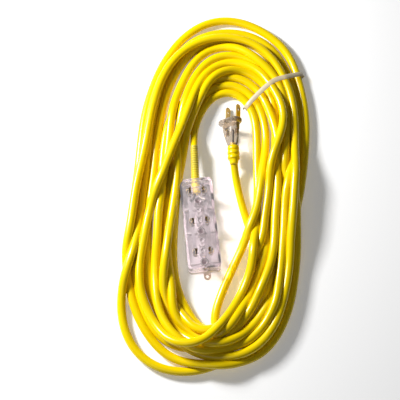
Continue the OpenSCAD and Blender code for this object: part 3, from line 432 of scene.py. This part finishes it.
def clear(name, base, rough, transmission, ior=1.49, noise=120.0, bump=0.2, cloud=0.0):
    m, nt, b = material(name)
    tc = nt.nodes.new("ShaderNodeTexCoord")
    n1 = nt.nodes.new("ShaderNodeTexNoise")
    n1.inputs["Scale"].default_value = noise
    n1.inputs["Detail"].default_value = 4.0
    nt.links.new(tc.outputs["Object"], n1.inputs["Vector"])
    bp = nt.nodes.new("ShaderNodeBump")
    bp.inputs["Strength"].default_value = bump
    bp.inputs["Distance"].default_value = 0.0006
    nt.links.new(n1.outputs["Fac"], bp.inputs["Height"])
    nt.links.new(bp.outputs["Normal"], b.inputs["Normal"])
    mix = nt.nodes.new("ShaderNodeMix")
    mix.data_type = "RGBA"
    mix.inputs["A"].default_value = base
    mix.inputs["B"].default_value = tuple(0.82 * c for c in base[:3]) + (1,)
    nt.links.new(n1.outputs["Fac"], mix.inputs["Factor"])
    nt.links.new(mix.outputs["Result"], b.inputs["Base Color"])
    r = nt.nodes.new("ShaderNodeMapRange")
    r.inputs["To Min"].default_value = max(rough - 0.05, 0.02)
    r.inputs["To Max"].default_value = rough + 0.08
    nt.links.new(n1.outputs["Fac"], r.inputs["Value"])
    nt.links.new(r.outputs["Result"], b.inputs["Roughness"])
    b.inputs["Transmission Weight"].default_value = transmission
    b.inputs["IOR"].default_value = ior
    # lamps reach what is inside
    path = nt.nodes.new("ShaderNodeLightPath")
    through = nt.nodes.new("ShaderNodeBsdfTransparent")
    through.inputs["Color"].default_value = tuple(0.5 + 0.5 * c for c in base[:3]) + (1,)
    both = nt.nodes.new("ShaderNodeMixShader")
    nt.links.new(path.outputs["Is Shadow Ray"], both.inputs[0])
    nt.links.new(b.outputs["BSDF"], both.inputs[1])
    nt.links.new(through.outputs["BSDF"], both.inputs[2])
    nt.links.new(both.outputs["Shader"], nt.nodes["Material Output"].inputs["Surface"])
    return m


def metal(name, base, rough=0.3, tint=None):
    m, nt, b = material(name)
    tc = nt.nodes.new("ShaderNodeTexCoord")
    n1 = nt.nodes.new("ShaderNodeTexNoise")
    n1.inputs["Scale"].default_value = 260.0
    n1.inputs["Detail"].default_value = 5.0
    nt.links.new(tc.outputs["Object"], n1.inputs["Vector"])
    mix = nt.nodes.new("ShaderNodeMix")
    mix.data_type = "RGBA"
    mix.inputs["A"].default_value = base
    mix.inputs["B"].default_value = tint or tuple(0.6 * c for c in base[:3]) + (1,)
    nt.links.new(n1.outputs["Fac"], mix.inputs["Factor"])
    nt.links.new(mix.outputs["Result"], b.inputs["Base Color"])
    r = nt.nodes.new("ShaderNodeMapRange")
    r.inputs["To Min"].default_value = rough - 0.08
    r.inputs["To Max"].default_value = rough + 0.15
    nt.links.new(n1.outputs["Fac"], r.inputs["Value"])
    nt.links.new(r.outputs["Result"], b.inputs["Roughness"])
    b.inputs["Metallic"].default_value = 1.0
    return m


YELLOW = vinyl("yellow_vinyl", (0.90, 0.665, 0.0, 1), rough=0.21, tint=(0.84, 0.60, 0.0, 1))
CLEAR_VINYL = clear("clear_vinyl", (0.52, 0.45, 0.38, 1), 0.12, 0.84, ior=1.2, bump=0.05)
CLEAR_BLOCK = clear("clear_block", (0.84, 0.79, 0.80, 1), 0.1, 0.84, ior=1.22, bump=0.04)
NYLON = clear("natural_nylon", (0.66, 0.57, 0.38, 1), 0.35, 0.1, bump=0.05)
BRASS = metal("brass", (0.46, 0.32, 0.11, 1), 0.32)
BRIDGE = vinyl("bridge_plastic", (0.42, 0.36, 0.28, 1), rough=0.45, tint=(0.3, 0.25, 0.18, 1))
BLACK = vinyl("black_insulation", (0.02, 0.017, 0.015, 1), rough=0.3, tint=(0.035, 0.028, 0.02, 1))
WHITE = vinyl("white_insulation", (0.75, 0.72, 0.66, 1), rough=0.3, tint=(0.65, 0.62, 0.55, 1))
MILKY = clear("clear_block_rear", (0.80, 0.745, 0.76, 1), 0.4, 0.3, ior=1.3, bump=0.08)
CUP = clear("well_cup", (0.70, 0.65, 0.66, 1), 0.25, 0.45, ior=1.3, bump=0.08)
CLIP = metal("clip_brass", (0.50, 0.37, 0.14, 1), 0.28, tint=(0.22, 0.15, 0.06, 1))
TINNED = metal("tinned_strip", (0.72, 0.68, 0.70, 1), 0.45, tint=(0.55, 0.52, 0.54, 1))
DARK_CRIMP = metal("dull_crimp", (0.34, 0.22, 0.12, 1), 0.45)
OWN = {"block_rear_shell": MILKY, "line_bus": TINNED, "neutral_bus": TINNED, "line_crimp": DARK_CRIMP, "neutral_crimp": DARK_CRIMP}
SLEEVE = vinyl("ribbed_sleeve", (0.80, 0.62, 0.03, 1), rough=0.3, noise=160.0, bump=0.3, tint=(0.42, 0.36, 0.08, 1))
SLOTS = {"cord_jacket": YELLOW, "clear_vinyl": CLEAR_VINYL, "clear_block": CLEAR_BLOCK, "natural_nylon": NYLON,
         "brass": BRASS, "bridge_plastic": BRIDGE, "black_insulation": BLACK, "white_insulation": WHITE}
for part in frame["record"]["subparts"]:
    ob = frame["nodes"][part["node"]]
    ob.data.materials.clear()
    ob.data.materials.append(OWN.get(part["node"], SLOTS[part["material_slot"]]))

cord.data.materials.append(YELLOW)
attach(cord, "coil")
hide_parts("cord_coil", "plug_lead", "block_lead")
# ---------------------------------------------------------------- the strain reliefs
def lathe(name, profile, place, sides=40):
    """A turned piece: profile is (distance along the axis, radius) in mm, place its frame with +Z along the axis."""
    rings = []
    for s, r in profile:
        a = np.linspace(0, 2 * np.pi, sides, endpoint=False)
        rings.append([place @ Vector((r * math.cos(x), r * math.sin(x), s)) for x in a])
    verts = [v * MM for ring in rings for v in ring]
    faces = [tuple(range(sides))[::-1]]
    for i in range(len(rings) - 1):
        for k in range(sides):
            k2 = (k + 1) % sides
            faces.append((i * sides + k, i * sides + k2, (i + 1) * sides + k2, (i + 1) * sides + k))
    faces.append(tuple((len(rings) - 1) * sides + k for k in range(sides)))
    return new_mesh(name, verts, faces)


def rot(angle, axis):
    return Matrix.Rotation(math.radians(angle), 4, axis)


plug_place = (Matrix.Translation((19.3, 69.4, 9.3)) @ rot(-2, "Z") @ rot(-98, "X") @ rot(-38, "Z")
              @ Matrix.Translation((0, 3.4, -44)) @ rot(6, "X"))
# narrow nose, three rolled rings, then the collar that meets the clear body
profile = [(-3.6, 3.5), (-3.2, 3.95), (-2.2, 4.2), (0.6, 4.5), (1.4, 4.8)]
for base, top, r in ((1.8, 6.2, 6.2), (6.9, 10.9, 6.25), (11.5, 16.2, 5.95)):
    for k in range(9):
        a = math.pi * k / 8
        profile.append((base + (top - base) * (1 - math.cos(a)) / 2, r - 1.15 + 1.15 * math.sin(a) ** 0.55))
    profile.append((top + 0.3, r - 1.3))
plug_sleeve = lathe("plug_strain_relief_rings", profile, plug_place)

tip, base = Vector(BLOCK_EXIT), Vector((-18.6, 4.1, 12.0))
axis = (base - tip).normalized()
block_place = Matrix.Translation(tip) @ axis.to_track_quat("Z", "Y").to_matrix().to_4x4()
profile = [(-3.5, 3.2), (-3.2, 3.45), (-2.6, 3.6)]
steps = 120
for k in range(steps + 1):
    s = -2.0 + 38.0 * k / steps
    r = 3.62 + 0.012 * s + 0.4 * math.cos(2 * math.pi * s / 2.45) ** 3
    profile.append((s, r))
block_sleeve = lathe("block_strain_relief_ribs", profile, block_place)

# ---------------------------------------------------------------- the tie
def seen_at(u, v, z):
    """The point at height z that the camera sees at u, v of its 400 x 400 frame, in mm."""
    e = math.radians(90 - ELEV)
    a, b = (u - 200) / 1050, -(v - 200) / 1050
    ray = np.array([a, b * math.cos(e) + math.sin(e), b * math.sin(e) - math.cos(e)])
    return EYE + ray * (z - EYE[2]) / ray[2]


def pile_top(q):
    h2 = ((line[:, :2] - q[:2]) ** 2).sum(1)
    m = h2 < 16
    return float((line[m, 2] + np.sqrt(16 - h2[m])).max()) if m.any() else 4.0


over_px = np.array([(246.2, 107.2), (249.5, 103), (253, 99), (258, 94), (262, 90), (266.5, 86), (271, 82.6), (275, 80),
                    (280, 78.2), (285, 77), (290, 75.8), (295, 74.8), (300, 74.0), (302.6, 74.2)])
over_px = resample(np.column_stack([over_px, np.zeros(len(over_px))]), 1.6)[:, :2]
top = []
for u, v in over_px:
    z = 12.0
    for _ in range(6):
        z = 0.6 * z + 0.4 * (pile_top(seen_at(u, v, z)) + 0.7)
    top.append(z)
top = np.array(top)
x = np.arange(len(top), dtype=float)
hull = [0]
for i in range(1, len(top)):
    while len(hull) > 1 and (top[hull[-1]] - top[hull[-2]]) * (i - hull[-2]) <= (top[i] - top[hull[-2]]) * (hull[-1] - hull[-2]):
        hull.pop()
    hull.append(i)
taut = np.interp(x, x[hull], top[hull])
for _ in range(3):
    taut[1:-1] = np.maximum(0.5 * taut[1:-1] + 0.25 * (taut[:-2] + taut[2:]), top[1:-1])
loop = [seen_at(u, v, z) for (u, v), z in zip(over_px, taut)]
start_xy, end_xy = loop[0][:2], loop[-1][:2]
side = end_xy - start_xy
side /= np.linalg.norm(side)
across = np.array([-side[1], side[0], 0.0])
down = [np.r_[end_xy + side * g, z] for g, z in ((0.7, 0.75 * taut[-1] + 0.4), (1.0, 0.5 * taut[-1] + 0.6), (0.8, 0.25 * taut[-1] + 0.8), (0.0, 1.0), (-1.5, 0.7))]
under = [np.r_[end_xy + (start_xy - end_xy) * t, 0.6] for t in np.linspace(0.08, 0.92, 12)]
up = [np.r_[start_xy - side * g, z] for g, z in ((-0.5, 0.8), (0.8, 0.25 * taut[0] + 0.6), (1.1, 0.5 * taut[0] + 0.4), (0.7, 0.75 * taut[0] + 0.2))]
ring = np.array(loop + down + under + up)
ring = resample(np.vstack([ring, ring[:1]]), 1.2)[:-1]
for _ in range(2):
    ring = 0.5 * ring + 0.25 * (np.roll(ring, 1, 0) + np.roll(ring, -1, 0))


def ribbon(name, path, wide, thick, closed):
    n = len(path)
    nxt, prv = np.roll(path, -1, 0), np.roll(path, 1, 0)
    if not closed:
        nxt[-1], prv[0] = path[-1], path[0]
    t = nxt - prv
    t /= np.linalg.norm(t, axis=1)[:, None]
    out = np.cross(t, across)
    out /= np.linalg.norm(out, axis=1)[:, None]
    section = [(-0.5, -0.28), (-0.44, -0.5), (-0.16, -0.5), (-0.12, -0.36), (0.12, -0.36), (0.16, -0.5), (0.44, -0.5), (0.5, -0.28),
               (0.5, 0.28), (0.44, 0.5), (-0.44, 0.5), (-0.5, 0.28)]
    m = len(section)
    verts = [(path[i] + across * wide * a + out[i] * thick * b) * MM for i in range(n) for a, b in section]
    faces = [(i * m + k, i * m + (k + 1) % m, ((i + 1) % n) * m + (k + 1) % m, ((i + 1) % n) * m + k)
             for i in range(n if closed else n - 1) for k in range(m)]
    if not closed:
        faces += [tuple(range(m))[::-1], tuple((n - 1) * m + k for k in range(m))]
    return new_mesh(name, verts, faces)


tie = ribbon("tie_strap_loop", ring, 5.1, 1.1, True)
z0 = taut[0]
tail_path = np.array([seen_at(247.6, 105.6, z0 + 0.6), seen_at(246.0, 106.6, z0 + 0.2), seen_at(244.6, 107.8, z0 - 0.3), seen_at(243.0, 109.0, z0 - 1.2)])
tail = ribbon("tie_tail", resample(tail_path, 1.0), 2.6, 0.8, False)
tail.data.materials.append(NYLON)
tie.data.materials.append(NYLON)
for piece in (tie, tail):
    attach(piece, "coil")
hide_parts("cable_tie_strap")

slots = {p["node"]: p["material_slot"] for p in frame["record"]["subparts"]}
for piece, node, body, a, b in (
    (plug_sleeve, "plug_strain_relief", "plug", plug_place @ Vector((0, 0, 0)), plug_place @ Vector((0, 0, 15))),
    (block_sleeve, "block_strain_relief", "power_block", tip, base),
):
    piece.data.materials.append(SLEEVE if node == "block_strain_relief" else SLOTS[slots[node]])
    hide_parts(node)
    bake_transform(piece)

# ---------------------------------------------------------------- details seen through the clear mouldings
block_frame = Matrix.Translation((-18.6, 4.1, 0)) @ rot(6, "Z") @ Matrix.Scale(-1, 4, (0, 1, 0))


def strip(verts, faces, plan, z0, z1, place):
    """A folded metal leaf: plan is its line seen from above, thickness 0.6 mm."""
    n = len(plan)
    t = np.gradient(plan, axis=0)
    t /= np.linalg.norm(t, axis=1)[:, None]
    nrm = np.column_stack([-t[:, 1], t[:, 0]]) * 0.32
    first = len(verts)
    for q, off in zip(plan, nrm):
        for sgn, z in ((1, z0), (1, z1 - 0.2), (0.5, z1), (-0.5, z1), (-1, z1 - 0.2), (-1, z0)):
            verts.append((place @ Vector((q[0] + sgn * off[0], q[1] + sgn * off[1], z))) * MM)
    for i in range(n - 1):
        for k in range(6):
            a, b = first + i * 6 + k, first + i * 6 + (k + 1) % 6
            faces.append((a, a + 6, b + 6, b))
    faces.append(tuple(first + k for k in range(6)))
    faces.append(tuple(first + (n - 1) * 6 + k for k in range(6))[::-1])


verts, faces = [], []
for i in range(3):
    for sx in (-1, 1):
        cx, cy = sx * 7.2, 11.5 + 30.8 * i
        a = np.radians(np.linspace(50, 310, 27))
        strip(verts, faces, np.column_stack([cx - 2.75 * sx * np.cos(a), cy + 2.9 * np.sin(a)]), 11.4, 21.5, block_frame)
        b = np.linspace(-1, 1, 9)
        strip(verts, faces, np.column_stack([cx + sx * (0.2 + 0.7 * b * b), cy + 1.7 * b]), 13.0, 21.2, block_frame)
clips = new_mesh("contact_clips_folded", verts, faces)
clips.data.materials.append(CLIP)
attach(clips, "power_block")
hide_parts("contact_clips")

verts, faces = [], []
for cy, r, depth, wall_r in [(23.4 + 30.8 * i, 2.72, 12.0, 0.5) for i in range(3)] + [(y, 1.9, 1.3, 0.4) for y in (32.3, 42.3, 63.1, 73.1)]:
    first, m = len(verts), 32
    rows = [(r, 24.02), (r + wall_r, 24.02), (r + wall_r, 23.9 - depth), (0.4, 23.9 - depth), (0.4, 24.3 - depth), (r - 0.1, 24.3 - depth)]
    for rr, z in rows:
        for k in range(m):
            a = 2 * math.pi * k / m
            verts.append((block_frame @ Vector((rr * math.cos(a), cy + rr * math.sin(a), z))) * MM)
    for j in range(len(rows)):
        for k in range(m):
            j2, k2 = (j + 1) % len(rows), (k + 1) % m
            faces.append((first + j * m + k, first + j * m + k2, first + j2 * m + k2, first + j2 * m + k))
cups = new_mesh("block_well_cups", verts, faces)
cups.data.materials.append(CUP)
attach(cups, "power_block")

wire_a = np.array([seen_at(232.9, 130.6, 13.4), seen_at(233.2, 134, 13.8), seen_at(233.0, 138, 14.0), seen_at(233.2, 142, 13.9), seen_at(233.3, 145.5, 13.4)])
wire_b = np.array([seen_at(237.4, 130.8, 13.4), seen_at(237.5, 134, 13.8), seen_at(237.2, 138, 14.0), seen_at(236.6, 142, 13.9), seen_at(235.8, 145.5, 13.3)])
shorts = []
for name, pts in (("plug_wire_left", wire_a), ("plug_wire_right", wire_b)):
    path = catmull(pts, 0.7)
    shorts.append(tube(name, path, 0.95, 0.95, sides=14))
for w, node in zip(shorts, ("plug_line_wire", "plug_neutral_wire")):
    w.data.materials.append(BLACK)
    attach(w, "plug")
    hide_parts(node)
# ---------------------------------------------------------------- floor and light
floor = new_mesh("floor", [(-12, -12, 0), (12, -12, 0), (12, 12, 0), (-12, 12, 0)], [(0, 1, 2, 3)], smooth=False)
fm, fnt, fb = material("floor_white")
fn = fnt.nodes.new("ShaderNodeTexNoise")
fn.inputs["Scale"].default_value = 6.0
fx = fnt.nodes.new("ShaderNodeMix")
fx.data_type = "RGBA"
fx.inputs["A"].default_value = (0.95, 0.95, 0.95, 1)
fx.inputs["B"].default_value = (0.93, 0.93, 0.93, 1)
fnt.links.new(fn.outputs["Fac"], fx.inputs["Factor"])
fnt.links.new(fx.outputs["Result"], fb.inputs["Base Color"])
fb.inputs["Roughness"].default_value = 0.9
fb.inputs["Specular IOR Level"].default_value = 0.0
fb.inputs["Emission Color"].default_value = (1, 1, 1, 1)
fb.inputs["Emission Strength"].default_value = 0.2
floor.data.materials.append(fm)

bpy.context.scene.view_settings.view_transform = "Standard"
world = bpy.data.worlds.new("world")
bpy.context.scene.world = world
world.use_nodes = True
bg = world.node_tree.nodes["Background"]
bg.inputs["Color"].default_value = (1, 1, 1, 1)
bg.inputs["Strength"].default_value = 0.07


def area(name, loc, target, size, power, color=(1, 1, 1), size_y=None):
    ld = bpy.data.lights.new(name, "AREA")
    ld.size = size
    if size_y:
        ld.shape = "RECTANGLE"
        ld.size_y = size_y
    ld.energy = power
    ld.color = color
    lo = bpy.data.objects.new(name, ld)
    bpy.context.scene.collection.objects.link(lo)
    lo.location = loc
    lo.rotation_euler = (Vector(target) - Vector(loc)).to_track_quat("-Z", "Y").to_euler()
    return lo


area("key", (-0.58, 0.30, 0.47), (0, 0, 0), 0.17, 11.4)
area("fill", (-0.3, -0.9, 1.4), (0, 0, 0), 1.0, 2.0)
